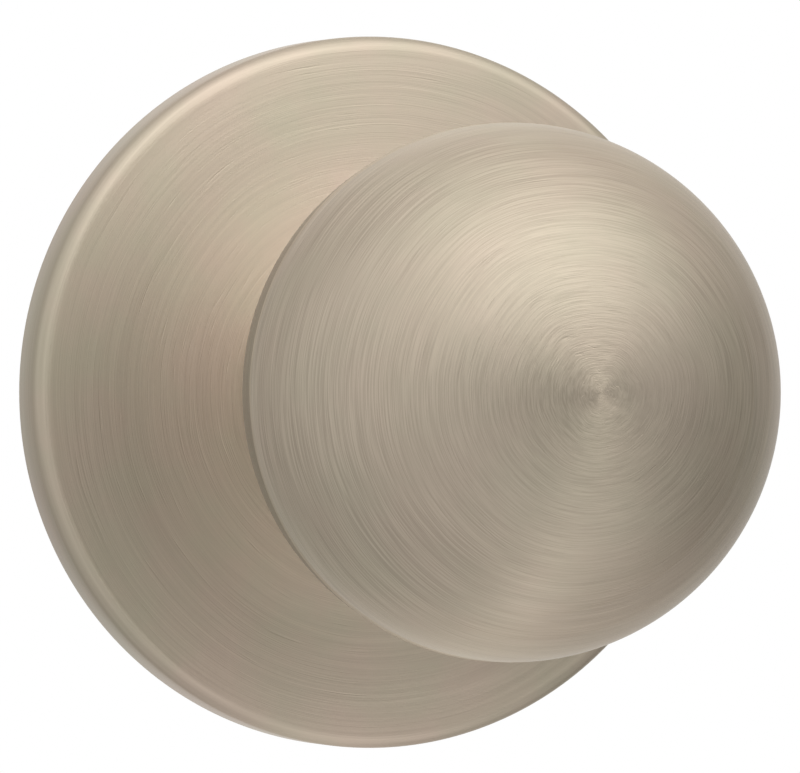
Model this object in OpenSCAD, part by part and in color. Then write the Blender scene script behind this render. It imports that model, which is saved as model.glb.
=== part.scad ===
// Outside half of a passage knob set: a ball knob that turns on a round rose.
//
// Every piece is drawn upwards from the door's face, then laid over so that the knob stands
// out along -Y. The origin is the centre of the rose on the door's face, X runs to the right
// and Z up as seen by someone in front of the door, and everything at +Y is inside the door.

/* [Ball] */
// Diameter of the ball
ball_d = 48.5; // [46:0.5:52]
// Height of the ball's centre above the door
ball_height = 43.5; // [42:0.5:48]
// Thickness of the spun metal of the ball
shell_t = 0.9; // [0.8:0.05:1]
// Distance of the seam behind the ball's widest circle
seam_back = 1.45; // [1.2:0.05:2]
// How far the front shell stands proud of the back shell at the seam
seam_step = 0.15; // [0.1:0.05:0.2]
// Diameter of the neck
neck_d = 23; // [22:0.5:23.5]
// Radius of the fillet between the neck and the ball
neck_fillet_r = 3.5; // [3:0.1:3.6]

/* [Rose] */
// Diameter of the rose
rose_d = 67; // [66:0.5:70]
// Thickness of the spun metal of the rose
rose_t = 1; // [0.8:0.1:1.2]
// Height of the straight part of the rose's rim
rim_h = 4.3; // [4:0.1:5]
// Radius of the rose's outer corner
corner_r = 1.6; // [1.4:0.1:1.8]
// Rise of the rose's crown above its outer corner
crown_rise = 1.9; // [1.6:0.1:2.2]

/* [Fastening] */
// Distance between the two screw posts
post_spacing = 38.1; // [38:0.1:39]
// Diameter of a screw post
post_d = 7.6; // [7:0.1:7.6]
// Length of a screw post behind the mounting plate
post_length = 22; // [18:0.5:26]
// Hole for the machine screw's thread
post_hole_d = 3.46; // [3.2:0.02:3.8]
// Depth of the screw's hole
post_hole_depth = 17; // [12:0.5:17]

/* [Spindle] */
// Width of the square spindle
spindle_w = 8; // [7:0.1:8]
// How far the spindle reaches into the door
spindle_reach = 52; // [40:1:60]

/* [Turning] */
// How far the knob turns each way before it meets a stop
turn_angle = 60; // [45:1:60]
// Diameter of the shank
shank_d = 17; // [16.8:0.1:17]
// Wire of the return spring
spring_wire_d = 1.3; // [1:0.05:1.3]
// Turns of the return spring
spring_turns = 3; // [2.5:0.5:3]

/* [Hidden] */
$fn = 96;

satin_nickel = [0.72, 0.66, 0.58];
zinc_plated = [0.70, 0.71, 0.72];
die_cast = [0.58, 0.59, 0.60];
bright_steel = [0.78, 0.78, 0.79];
spring_steel = [0.36, 0.36, 0.38];
nylon = [0.90, 0.89, 0.84];

// Gaps: around what slides or turns, between pressed parts that stay still, and what cutters overrun
running = 0.08;
snug = 0.05;
over = 1;

// Ball
ball_r = ball_d / 2;
back_r = ball_r - seam_step;
seam_z = ball_height - seam_back;
seam_gap = 0.05;
neck_r = neck_d / 2;
neck_end = 5.2;
fillet_x = neck_r + neck_fillet_r;
fillet_z = ball_height - sqrt(pow(back_r + neck_fillet_r, 2) - pow(fillet_x, 2));
lip_r = ball_r - shell_t - snug;
lip_reach = 2.7;
lip_root = 1.2;

// Shank and the pieces on it
shank_r = shank_d / 2;
shank_bore_r = shank_r - 1.5;
brace_t = 1.2;
brace_z = seam_z + 0.4;
brace_r = sqrt(pow(lip_r - shell_t, 2) - pow(ball_height - brace_z, 2)) - snug;
brace_holes = 6;
bush_r = neck_r - shell_t;
bush_flange_t = 1.6;
bush_flange_z = fillet_z + 3.7;
bush_flange_r = bush_r + 1.9;
socket_base = 8;
socket_top = 24;
pin_z = 14;
pin_r = 1.25;
pin_half_length = sqrt(pow(shank_r, 2) - pow(pin_r, 2)) - 0.02;
spindle_top = 20;

// Plate, housing and posts
plate_t = 1.6;
plate_back = 1.2;
plate_front = plate_back + plate_t;
plate_setback = 0.8;
plate_r = rose_d / 2 - rose_t - snug;
pan_r = 27;
pan_rise = rim_h + 0.4 - plate_front;
post_r = post_d / 2;
post_x = post_spacing / 2;
tenon_r = 2.6;
rivet_circle = 18;
rivet_r = 1.45;
rivet_head_r = 2.5;
rivet_head_h = 1;
rivet_angles = [50, 130, 230, 310];
floor_t = 1.7;
floor_back = plate_back - floor_t;
cup_r = 14.8;
cup_wall = 1.2;
cup_end = -7.3;
flange_r = 21;
hub_r = shank_r + 2.1;
bearing_r = shank_r + 1;
hub_top = plate_front + 0.6;
bearing_flange_t = 0.8;
bearing_flange_r = 11.3;
washer_t = 0.7;

// Return spring
spring_r = 12;
wire_r = spring_wire_d / 2;
tail_hole_r = wire_r + 0.2;
spring_bend_r = 1.2;
spring_front = floor_back - 0.2;
spring_fall = spring_wire_d + 0.1;
spring_slope = atan(spring_fall / (2 * PI * spring_r));

// Driver, washers and retaining ring, each one behind the last
driver_t = 1.5;
driver_front = cup_end - 0.4;
driver_back = driver_front - driver_t;
driver_r = cup_r - 0.4;
stop_r = 17.2;
stop_lug_half = 6;
stop_rib_width = 7;
stop_clearance = 1.5;
stop_rib_end = driver_back - 0.2;
key_w = 3;
wave_t = 0.3;
wave_swing = 0.22;
wave_back = driver_back - 2 * wave_swing - wave_t;
back_washer_t = 0.5;
back_washer_back = wave_back - back_washer_t;
ring_t = 1;
ring_back = back_washer_back - ring_t;
ring_r = 10.1;
groove_r = shank_r - 0.5;
shank_end = ring_back - 1.4;

// Lays a piece that is drawn upwards from the door over to stand out along -Y
module out_from_door() {
    rotate([90, 0, 0]) children();
}

// A plain ring between two heights
module collar(outer_r, inner_r, low, high) {
    translate([0, 0, low]) difference() {
        cylinder(r = outer_r, h = high - low);
        translate([0, 0, -over]) cylinder(r = inner_r, h = high - low + 2 * over);
    }
}

// A round hole or pin between two heights, away from the axis
module rod(r, low, high, at = [0, 0]) {
    translate([at[0], at[1], low]) cylinder(r = r, h = high - low);
}

// The part of a flat ring between two radii, within half_angle each side of its middle angle
module sector(inner_r, outer_r, middle, half_angle) {
    far = 2 * outer_r;
    rotate(middle) intersection() {
        difference() {
            circle(r = outer_r);
            circle(r = inner_r);
        }
        polygon([[0, 0], [far, -far * tan(half_angle)], [far, far * tan(half_angle)]]);
    }
}

// Half of a section through a piece that is turned about the axis, from the axis outwards
module right_half() {
    reach = 100;
    intersection() {
        children();
        translate([0, -reach]) square([reach, 2 * reach]);
    }
}

module ball_circle(r) {
    translate([0, ball_height]) circle(r = r);
}

module above(z) {
    translate([-over, z]) square(2 * ball_d);
}

// Outline of the back shell from the ball's centre to the neck, set in by the given amount
module back_outline(inset) {
    ball_circle(back_r - inset);
    square([neck_r - inset, ball_height]);
    difference() {
        polygon([[0, fillet_z], [fillet_x, fillet_z], [0, ball_height]]);
        translate([fillet_x, fillet_z]) circle(r = neck_fillet_r + inset);
    }
}

// Outline of the rose, set in by the given amount: straight rim, round corner, shallow crown
module rose_outline(inset) {
    corner_x = rose_d / 2 - corner_r;
    rise = crown_rise + corner_r;
    crown_r = (pow(corner_x, 2) + pow(rise, 2) - pow(corner_r, 2)) / (2 * (rise - corner_r));
    crown_z = rim_h + rise - crown_r;
    tangent = asin(corner_x / (crown_r - corner_r));
    far = 4;
    difference() {
        intersection() {
            translate([0, crown_z]) circle(r = crown_r - inset, $fn = 720);
            square([rose_d / 2 - inset, rim_h + rise]);
        }
        polygon([
            [corner_x, rim_h],
            [corner_x + far, rim_h],
            [corner_x + far, rim_h + far],
            [corner_x + far * sin(tangent), rim_h + far * cos(tangent)]
        ]);
    }
    translate([corner_x, rim_h]) circle(r = corner_r - inset);
}

// Height of the underside of the rose at a given radius
function rose_underside(r) =
    let (
        corner_x = rose_d / 2 - corner_r,
        rise = crown_rise + corner_r,
        crown_r = (pow(corner_x, 2) + pow(rise, 2) - pow(corner_r, 2)) / (2 * crown_rise)
    )
    rim_h + rise - crown_r + sqrt(pow(crown_r - rose_t, 2) - pow(r, 2));

// Skins a row of outlines that all have the same number of points
module skin(rings, closed) {
    count = len(rings);
    sides = len(rings[0]);
    spans = closed ? count : count - 1;
    walls = [
        for (i = [0 : spans - 1], k = [0 : sides - 1])
            let (j = (i + 1) % count, m = (k + 1) % sides)
            [i * sides + k, i * sides + m, j * sides + m, j * sides + k]
    ];
    first_cap = [for (k = [sides - 1 : -1 : 0]) k];
    last_cap = [for (k = [0 : sides - 1]) (count - 1) * sides + k];
    polyhedron(
        points = [for (ring = rings, p = ring) p],
        faces = closed ? walls : concat(walls, [first_cap, last_cap])
    );
}

// ---- The knob: everything that turns ----

module knob_front_shell() {
    color(satin_nickel)
    out_from_door() rotate_extrude() right_half() intersection() {
        difference() {
            ball_circle(ball_r);
            ball_circle(ball_r - shell_t);
        }
        above(seam_z);
    }
}

module knob_back_shell() {
    color(satin_nickel)
    out_from_door() rotate_extrude() right_half() {
        difference() {
            back_outline(0);
            back_outline(shell_t);
            above(seam_z - seam_gap);
            translate([0, neck_end - ball_d]) square(ball_d);
        }
        // The lip that the front shell is pressed over
        intersection() {
            difference() {
                ball_circle(lip_r);
                ball_circle(lip_r - shell_t);
            }
            translate([0, seam_z - lip_root]) square([ball_d, lip_root + lip_reach]);
        }
    }
}

module shank_plate() {
    hole_r = 3.4;
    color(zinc_plated)
    out_from_door() difference() {
        union() {
            collar(brace_r, shank_r, brace_z, brace_z + brace_t);
            collar(shank_r + brace_t, shank_r, brace_z - 2 * brace_t, brace_z + brace_t);
        }
        for (i = [0 : brace_holes - 1]) {
            rotate(i * 360 / brace_holes)
            rod(hole_r, brace_z - over, brace_z + brace_t + over, [(brace_r + shank_r) / 2 + 0.6, 0]);
        }
    }
}

module neck_bush() {
    color(die_cast)
    out_from_door() {
        collar(bush_r, shank_r, neck_end - 0.2, bush_flange_z + bush_flange_t);
        collar(bush_flange_r, bush_r - over, bush_flange_z, bush_flange_z + bush_flange_t);
    }
}

module knob_sleeve() {
    color(zinc_plated)
    out_from_door() difference() {
        collar(shank_r, shank_bore_r, shank_end, brace_z + brace_t);
        collar(shank_r + over, groove_r, ring_back, ring_back + ring_t);
        // Slots that key the driver
        translate([-shank_d, -key_w / 2, shank_end - over])
        cube([2 * shank_d, key_w, driver_front - shank_end + over]);
        spindle_pin_hole();
    }
}

module spindle_pin_hole() {
    translate([-shank_d, 0, pin_z]) rotate([0, 90, 0]) cylinder(r = pin_r, h = 2 * shank_d);
}

module spindle_socket() {
    hole_w = spindle_w + 2 * snug;
    color(die_cast)
    out_from_door() difference() {
        rod(shank_bore_r, socket_base, socket_top);
        translate([-hole_w / 2, -hole_w / 2, socket_base - over])
        cube([hole_w, hole_w, socket_top - socket_base + 2 * over]);
        spindle_pin_hole();
    }
}

module spindle() {
    corner = spindle_w / sqrt(2);
    bevel = 1.4;
    color(bright_steel)
    out_from_door() difference() {
        intersection() {
            translate([-spindle_w / 2, -spindle_w / 2, -spindle_reach])
            cube([spindle_w, spindle_w, spindle_reach + spindle_top]);
            // Turned bevels at both ends
            rotate_extrude() polygon([
                [0, -spindle_reach],
                [corner - bevel, -spindle_reach],
                [corner + snug, bevel - spindle_reach],
                [corner + snug, spindle_top - bevel],
                [corner - bevel, spindle_top],
                [0, spindle_top]
            ]);
        }
        spindle_pin_hole();
    }
}

module spindle_pin() {
    fit = 0.01;
    color(bright_steel)
    out_from_door() translate([-pin_half_length, 0, pin_z]) rotate([0, 90, 0])
    cylinder(r = pin_r - fit, h = 2 * pin_half_length);
}

module spring_driver() {
    tongue = 1.3;
    color(zinc_plated)
    out_from_door() difference() {
        union() {
            collar(driver_r, shank_r + snug, driver_back, driver_front);
            // Tongues in the shank's slots
            for (side = [0, 180]) {
                rotate(side)
                translate([shank_r - tongue, -key_w / 2 + snug, driver_back])
                cube([2 * tongue, key_w - 2 * snug, driver_t]);
            }
            // The lug that meets the stops
            translate([0, 0, driver_back]) linear_extrude(driver_t)
            sector(driver_r - over, stop_r, 90, stop_lug_half);
        }
        rotate(spring_end_angle())
        rod(tail_hole_r, driver_back - over, driver_front + over, [spring_r, 0]);
    }
}

module wave_washer() {
    inner = shank_r + 0.2;
    outer = 11.4;
    waves = 3;
    steps = 72;
    mid = (driver_back + wave_back) / 2;
    rings = [
        for (i = [0 : steps - 1])
            let (
                a = i * 360 / steps,
                z = mid + wave_swing * cos(waves * a),
                low = z - wave_t / 2,
                high = z + wave_t / 2
            )
            [
                [inner * cos(a), inner * sin(a), low],
                [outer * cos(a), outer * sin(a), low],
                [outer * cos(a), outer * sin(a), high],
                [inner * cos(a), inner * sin(a), high]
            ]
    ];
    color(spring_steel)
    out_from_door() skin(rings, closed = true);
}

module back_washer() {
    color(bright_steel)
    out_from_door() collar(11.4, shank_r + snug, back_washer_back, wave_back);
}

module retaining_ring() {
    gap_half = 16;
    ear_r = 1.5;
    ear_hole_r = 0.65;
    ear_angle = gap_half + 8;
    ear_at = ring_r - 0.1;
    color(spring_steel)
    out_from_door() translate([0, 0, ring_back + snug]) linear_extrude(ring_t - 2 * snug)
    rotate(-90) difference() {
        union() {
            difference() {
                circle(r = ring_r);
                sector(0, ring_r + over, 0, gap_half);
            }
            for (side = [-1, 1]) {
                rotate(side * ear_angle) translate([ear_at, 0]) circle(r = ear_r);
            }
        }
        circle(r = groove_r + snug);
        for (side = [-1, 1]) {
            rotate(side * ear_angle) translate([ear_at, 0]) circle(r = ear_hole_r);
        }
    }
}

// ---- The chassis: everything that stays on the door ----

module rose() {
    hole_r = neck_r + 1.35;
    tab_half_angle = 4;
    color(satin_nickel)
    out_from_door() {
        rotate_extrude() right_half() difference() {
            rose_outline(0);
            rose_outline(rose_t);
            square([hole_r, ball_d]);
            // The inner outline stops on the door's face, so the rose is open behind
            translate([0, -over]) square([rose_d / 2 - rose_t, over + rim_h / 2]);
        }
        // Tabs of the edge, turned in behind the mounting plate
        for (a = [45 : 90 : 315]) {
            linear_extrude(plate_setback - snug)
            sector(plate_r - 1.1, rose_d / 2 - rose_t / 2, a, tab_half_angle);
        }
    }
}

module neck_ring() {
    skirt_inner = neck_r + 0.7;
    skirt_outer = neck_r + 2.9;
    lip_outer = neck_r + 1.3;
    shoulder = rose_underside(skirt_outer) - snug;
    lip_top = rose_underside(lip_outer) + rose_t + 0.45;
    edge_r = 0.35;
    bore_r = neck_r + running;
    color(nylon)
    out_from_door() rotate_extrude() difference() {
        union() {
            translate([skirt_inner, plate_front])
            square([skirt_outer - skirt_inner, shoulder - plate_front]);
            translate([bore_r, shoulder - 0.9]) square([skirt_outer - bore_r, 0.9]);
            translate([bore_r, shoulder - 0.9])
            square([lip_outer - bore_r, lip_top - edge_r - shoulder + 0.9]);
            translate([bore_r, shoulder])
            square([lip_outer - edge_r - bore_r, lip_top - shoulder]);
            translate([lip_outer - edge_r, lip_top - edge_r]) circle(r = edge_r);
        }
    }
}

module mounting_plate() {
    bevel = 0.7;
    pan_top = plate_front + pan_rise;
    pan_under = pan_top - plate_t;
    color(zinc_plated)
    out_from_door() difference() {
        rotate_extrude() polygon([
            [hub_r + snug, plate_back],
            [pan_r + 1, plate_back],
            [pan_r + 2.2, pan_under],
            [plate_r - plate_t, pan_under],
            [plate_r - plate_t, plate_setback],
            [plate_r, plate_setback],
            [plate_r, pan_top - bevel],
            [plate_r - bevel, pan_top],
            [pan_r + 1.2, pan_top],
            [pan_r, plate_front],
            [hub_r + snug, plate_front]
        ]);
        for (side = [-1, 1]) {
            rod(tenon_r, plate_back - over, plate_front + over, [side * post_x, 0]);
        }
        rivet_holes();
    }
}

module rivet_holes() {
    for (a = rivet_angles) {
        rotate(a) rod(rivet_r, floor_back - over, plate_front + over, [rivet_circle, 0]);
    }
}

// One threaded post, riveted into the plate by its tenon
module screw_post(side) {
    head_r = 3.5;
    head_h = 0.7;
    end = plate_back - post_length;
    color(zinc_plated)
    out_from_door() translate([side * post_x, 0, 0]) difference() {
        rotate_extrude() polygon([
            [0, end],
            [post_r - 0.5, end],
            [post_r, end + 0.5],
            [post_r, plate_back],
            [tenon_r, plate_back],
            [tenon_r, plate_front],
            [head_r, plate_front],
            [head_r - 0.5, plate_front + head_h],
            [0, plate_front + head_h]
        ]);
        rod(post_hole_d / 2, end - over, end + post_hole_depth);
    }
}

module screw_post_left() {
    screw_post(-1);
}

module screw_post_right() {
    screw_post(1);
}

module spring_housing() {
    rib_middle = 90 - turn_angle - stop_lug_half - stop_clearance - stop_rib_width / 2;
    color(die_cast)
    out_from_door() difference() {
        union() {
            collar(flange_r, hub_r - over, floor_back, plate_back);
            collar(cup_r, cup_r - cup_wall, cup_end, floor_back + over);
            collar(hub_r, bearing_r, cup_end - 0.2, hub_top);
            // Ribs on the outside of the cup stop the driver's lug
            for (middle = [rib_middle, 180 - rib_middle]) {
                translate([0, 0, stop_rib_end]) linear_extrude(floor_back - stop_rib_end + over)
                sector(cup_r - cup_wall / 2, stop_r, middle, stop_rib_width / 2);
            }
        }
        // Room for the driver's rim where the ribs reach past the cup
        collar(cup_r, hub_r + over, stop_rib_end - over, cup_end);
        for (side = [-1, 1]) {
            rod(post_r + 0.1, floor_back - over, plate_back + over, [side * post_x, 0]);
        }
        rod(tail_hole_r, floor_back - over, plate_back + over, [spring_r, 0]);
        rod(bearing_r, cup_end - over, hub_top + over);
        rivet_holes();
    }
}

module housing_rivets() {
    color(bright_steel)
    out_from_door() for (a = rivet_angles) {
        rotate(a) translate([rivet_circle, 0, 0]) {
            rod(rivet_r, floor_back, plate_front);
            rod(rivet_head_r, floor_back - rivet_head_h, floor_back);
            // Domed head on the side that faces the rose
            translate([0, 0, plate_front]) rotate_extrude() right_half() intersection() {
                translate([0, rivet_head_h - dome_r()]) circle(r = dome_r());
                square([rivet_head_r, rivet_head_h]);
            }
        }
    }
}

function dome_r() = (pow(rivet_head_r, 2) + pow(rivet_head_h, 2)) / (2 * rivet_head_h);

module knob_bearing() {
    color(nylon)
    out_from_door() {
        collar(bearing_r, shank_r + running, cup_end - 0.3, hub_top);
        collar(bearing_flange_r, shank_r + running, hub_top, hub_top + bearing_flange_t);
    }
}

module thrust_washer() {
    low = hub_top + bearing_flange_t;
    color(bright_steel)
    out_from_door() collar(bearing_flange_r, shank_r + running, low, low + washer_t);
}

// The return spring lies on one cylinder. Unrolled, it is a tail down from the housing's
// floor, a bend, a straight slope that is the coil, a bend, and a tail into the driver.
function coil_length() = 2 * PI * spring_r * spring_turns;

function first_bend(a) =
    [spring_bend_r * (1 + cos(a)), spring_front + spring_bend_r * sin(a)];

function coil_start() = first_bend(270 - spring_slope);

function coil_end() = coil_start() + coil_length() * [cos(spring_slope), -sin(spring_slope)];

function last_bend(a) =
    coil_end() + spring_bend_r * [cos(a) - sin(spring_slope), sin(a) - cos(spring_slope)];

function spring_end_angle() = last_bend(0)[0] / spring_r * 180 / PI;

function unrolled_spring() =
    let (bend_steps = 5, coil_steps = 36 * spring_turns)
    concat(
        [[0, plate_back - 0.2]],
        [for (i = [0 : bend_steps]) first_bend(180 + (90 - spring_slope) * i / bend_steps)],
        [for (i = [1 : coil_steps - 1]) coil_start() + (coil_end() - coil_start()) * i / coil_steps],
        [for (i = [0 : bend_steps]) last_bend((90 - spring_slope) * (1 - i / bend_steps))],
        [[last_bend(0)[0], driver_back + 0.1]]
    );

// The wire's outline at one point: p on the unrolled cylinder, going along the direction d
function wire_ring(p, d, sides) =
    let (
        a = p[0] / spring_r * 180 / PI,
        along = d / norm(d),
        out = [cos(a), sin(a), 0],
        round = [-sin(a), cos(a), 0],
        across = along[0] * [0, 0, 1] - along[1] * round,
        at = spring_r * out + p[1] * [0, 0, 1]
    )
    [for (k = [0 : sides - 1]) at + wire_r * (cos(k * 360 / sides) * out + sin(k * 360 / sides) * across)];

module return_spring() {
    path = unrolled_spring();
    last = len(path) - 1;
    wire_sides = 8;
    rings = [
        for (i = [0 : last])
            wire_ring(path[i], path[min(i + 1, last)] - path[max(i - 1, 0)], wire_sides)
    ];
    color(spring_steel)
    out_from_door() skin(rings, closed = false);
}

knob_front_shell();
knob_back_shell();
shank_plate();
neck_bush();
knob_sleeve();
spindle_socket();
spindle();
spindle_pin();
spring_driver();
wave_washer();
back_washer();
retaining_ring();
rose();
neck_ring();
mounting_plate();
screw_post_left();
screw_post_right();
spring_housing();
housing_rivets();
knob_bearing();
thrust_washer();
return_spring();
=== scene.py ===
"""Looks for the outside half of a passage knob set: a satin nickel ball knob on a round rose."""

from math import acos, asin, atan2, ceil, cos, degrees, exp, hypot, pi, radians, sin, sqrt, tan, tau

import bmesh
import bpy
from mathutils import Matrix, Vector


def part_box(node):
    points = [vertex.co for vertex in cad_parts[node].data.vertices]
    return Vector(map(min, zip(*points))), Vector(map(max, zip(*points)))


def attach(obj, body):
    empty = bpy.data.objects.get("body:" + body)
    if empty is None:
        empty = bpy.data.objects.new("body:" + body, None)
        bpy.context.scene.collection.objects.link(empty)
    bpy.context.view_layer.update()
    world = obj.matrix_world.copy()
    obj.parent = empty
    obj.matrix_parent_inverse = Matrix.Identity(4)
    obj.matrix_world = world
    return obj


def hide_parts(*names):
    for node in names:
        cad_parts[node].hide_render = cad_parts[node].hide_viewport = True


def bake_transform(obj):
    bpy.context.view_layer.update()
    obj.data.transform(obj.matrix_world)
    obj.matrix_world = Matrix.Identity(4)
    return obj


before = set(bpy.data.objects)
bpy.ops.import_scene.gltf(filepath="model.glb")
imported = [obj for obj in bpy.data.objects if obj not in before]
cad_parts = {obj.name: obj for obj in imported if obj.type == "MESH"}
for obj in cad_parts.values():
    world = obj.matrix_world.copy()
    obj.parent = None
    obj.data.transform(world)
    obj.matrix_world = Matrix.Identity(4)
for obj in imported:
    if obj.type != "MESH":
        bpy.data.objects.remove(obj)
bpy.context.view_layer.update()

# Sizes are written in millimetres and made into metres as a mesh is made. Every piece is
# described by (r, z): r is the distance from the knob's axis and z the height above the door.
MM = 0.001
# How far along a profile one unit of a UV map's v goes, in millimetres
UV_LENGTH = 100.0
# The angle between two faces from which the edge between them is shaded sharp
SHARP = 35


def heights(node):
    """Lowest and highest point of a CAD node above the door, in millimetres."""
    low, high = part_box(node)
    return -high.y / MM, -low.y / MM


def radius(node):
    """Half the width of a CAD node that lies evenly about the knob's axis, in millimetres."""
    low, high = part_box(node)
    return (high.x - low.x) / 2 / MM


# ---- Profiles ----


def arc(centre, r, start, end, steps):
    """Points on an arc, the angles in degrees from +r towards +z."""
    angles = [radians(start + (end - start) * i / steps) for i in range(steps + 1)]
    return [(centre[0] + r * cos(a), centre[1] + r * sin(a)) for a in angles]


def soften(corners, steps=4):
    """A profile with its corners rounded. A corner is (r, z) or (r, z, radius). A further point close
    to each end of the rounding keeps the flats beyond it flat under smooth shading."""
    hold, least_hold = 0.25, 0.05
    points = []
    count = len(corners)
    for i, corner in enumerate(corners):
        here = Vector(corner[:2])
        size = corner[2] if len(corner) > 2 else 0
        before = Vector(corners[i - 1][:2]) - here
        after = Vector(corners[(i + 1) % count][:2]) - here
        if not size or before.length < 1e-9 or after.length < 1e-9:
            points.append(tuple(here))
            continue
        half_turn = before.angle(after) / 2
        reach = min(size / max(0.05, abs(tan(half_turn))), before.length * 0.49, after.length * 0.49)
        start = here + before.normalized() * reach
        end = here + after.normalized() * reach
        held = [min(hold, 0.9 * (way.length / 2 - reach)) for way in (before, after)]
        if held[0] > least_hold:
            points.append(tuple(start + before.normalized() * held[0]))
        for k in range(steps + 1):
            t = k / steps
            p = start * (1 - t) ** 2 + here * 2 * t * (1 - t) + end * t ** 2
            points.append(tuple(p))
        if held[1] > least_hold:
            points.append(tuple(end + after.normalized() * held[1]))
    return points


# ---- Meshes ----


def smooth(mesh, sharp=SHARP):
    """Smooth shading, with sharp edges where the surface turns by more than sharp degrees."""
    mesh.polygons.foreach_set("use_smooth", [True] * len(mesh.polygons))
    mesh.set_sharp_from_angle(angle=radians(sharp))


def face_outwards(mesh, weld=0.0):
    """Turns every face outwards, once points closer than weld metres have become one."""
    work = bmesh.new()
    work.from_mesh(mesh)
    if weld:
        bmesh.ops.remove_doubles(work, verts=work.verts, dist=weld)
    bmesh.ops.recalc_face_normals(work, faces=work.faces)
    work.to_mesh(mesh)
    work.free()


def settle(name, mesh, sharp=SHARP):
    """A new object in the scene that holds the mesh, smoothly shaded."""
    smooth(mesh, sharp)
    mesh.update()
    piece = bpy.data.objects.new(name, mesh)
    bpy.context.scene.collection.objects.link(piece)
    return piece


def build(name, vertices, faces, uvs=None, sharp=SHARP):
    """A piece from points in metres, faces and, where its material needs them, UVs for each face."""
    mesh = bpy.data.meshes.new(name)
    mesh.from_pydata(vertices, [], faces)
    if uvs:
        layer = mesh.uv_layers.new(name="along")
        layer.data.foreach_set("uv", [c for face in uvs for uv in face for c in uv])
    mesh.validate()
    return settle(name, mesh, sharp)


def at(r, a, z, centre=(0, 0)):
    """The place in metres at distance r, angle a and height z from an axis through centre."""
    return Vector((centre[0] + r * cos(a), -z, centre[1] + r * sin(a))) * MM


def lathe(name, profile, segments=96, centre=(0, 0), shape=None, start=0.0, end=tau):
    """Turns a closed profile about the knob's axis, or about a parallel one through centre.
    shape(r, z, a) may move a point, and an end before the full turn leaves a wedge with flat ends.
    The UVs are the angle and the way along the profile."""
    closed = end - start > tau - 1e-6
    pairs = list(zip(profile, profile[1:] + profile[:1]))
    if sum(p[0] * q[1] - q[0] * p[1] for p, q in pairs) < 0:
        profile = profile[::-1]
        pairs = list(zip(profile, profile[1:] + profile[:1]))
    along = [0.0]
    for p, q in pairs:
        along.append(along[-1] + hypot(q[0] - p[0], q[1] - p[1]))
    columns = segments if closed else segments + 1
    vertices, rows = [], []
    for r, z in profile:
        if r < 1e-6:
            rows.append([len(vertices)] * columns)
            vertices.append(at(0, 0, z, centre))
            continue
        rows.append(list(range(len(vertices), len(vertices) + columns)))
        for k in range(columns):
            a = start + (end - start) * k / segments
            vertices.append(at(*((*shape(r, z, a),) if shape else (r, a, z)), centre))
    faces, uvs = [], []
    for i in range(len(profile)):
        j = (i + 1) % len(profile)
        for k in range(segments):
            m = (k + 1) % columns
            corners = [
                (rows[i][k], k, along[i]), (rows[i][m], k + 1, along[i]),
                (rows[j][m], k + 1, along[i + 1]), (rows[j][k], k, along[i + 1]),
            ]
            kept = [c for n, c in enumerate(corners) if c[0] != corners[n - 1][0]]
            if len(kept) > 2:
                faces.append([c[0] for c in kept])
                uvs.append([(c[1] / segments, c[2] / UV_LENGTH) for c in kept])
    if not closed:
        for face in ([row[0] for row in rows][::-1], [row[-1] for row in rows]):
            faces.append(face)
            uvs.append([(0, 0)] * len(face))
    return build(name, vertices, faces, uvs)


def disc(centre, r, steps=64):
    """A round outline of (x, z)."""
    angles = [tau * k / steps for k in range(steps)]
    return [(centre[0] + r * cos(a), centre[1] + r * sin(a)) for a in angles]


def plate(name, outside, holes, low, high, edge=0.15):
    """A flat piece with rounded edges, cut to an outline of (x, z) with holes in it."""
    curve = bpy.data.curves.new(name, "CURVE")
    curve.dimensions, curve.fill_mode = "2D", "BOTH"
    curve.extrude = (high - low) / 2 - edge
    curve.bevel_depth, curve.bevel_resolution, curve.offset = edge, 2, -edge
    for outline in [outside] + [hole[::-1] for hole in holes]:
        spline = curve.splines.new("POLY")
        spline.points.add(len(outline) - 1)
        spline.points.foreach_set("co", [c for x, z in outline for c in (x, z, 0, 1)])
        spline.use_cyclic_u = True
    shape = bpy.data.objects.new(name, curve)
    mesh = bpy.data.meshes.new_from_object(shape)
    bpy.data.objects.remove(shape)
    lay_over = Matrix(((MM, 0, 0, 0), (0, 0, -MM, 0), (0, MM, 0, 0), (0, 0, 0, 1)))
    mesh.transform(lay_over @ Matrix.Translation((0, 0, (low + high) / 2)))
    while mesh.uv_layers:
        mesh.uv_layers.remove(mesh.uv_layers[0])
    face_outwards(mesh, 1e-7)
    return settle(name, mesh, 40)


def combine(piece, other, operation):
    """Adds other to the piece or cuts it out, and uses it up."""
    modifier = piece.modifiers.new("combine", "BOOLEAN")
    modifier.operation, modifier.object, modifier.solver = operation, other, "EXACT"
    view = bpy.context.evaluated_depsgraph_get()
    mesh = bpy.data.meshes.new_from_object(piece.evaluated_get(view))
    piece.modifiers.clear()
    piece.data = mesh
    bpy.data.objects.remove(other)
    smooth(mesh)
    return piece


def drill(piece, centre, r, low, high, edge=0.15):
    """A round hole parallel to the axis, with its edges broken at both faces."""
    past = 1
    tool = [
        (0, low - past), (r + edge, low - past), (r + edge, low), (r, low + edge),
        (r, high - edge), (r + edge, high), (r + edge, high + past), (0, high + past),
    ]
    return combine(piece, lathe("drill", tool, 48, centre), "DIFFERENCE")


def lay_across(piece, z):
    """Turns a piece that was made along the knob's axis about the origin to lie along X, at height z."""
    piece.data.transform(Matrix.Translation((0, -z * MM, 0)) @ Matrix.Rotation(pi / 2, 4, "Z"))
    return piece


def cross_drill(piece, r, z):
    """A round hole right through along X."""
    half = 20
    tool = lathe("drill", [(0, -half), (r, -half), (r, half), (0, half)], 40)
    return combine(piece, lay_across(tool, z), "DIFFERENCE")


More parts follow.
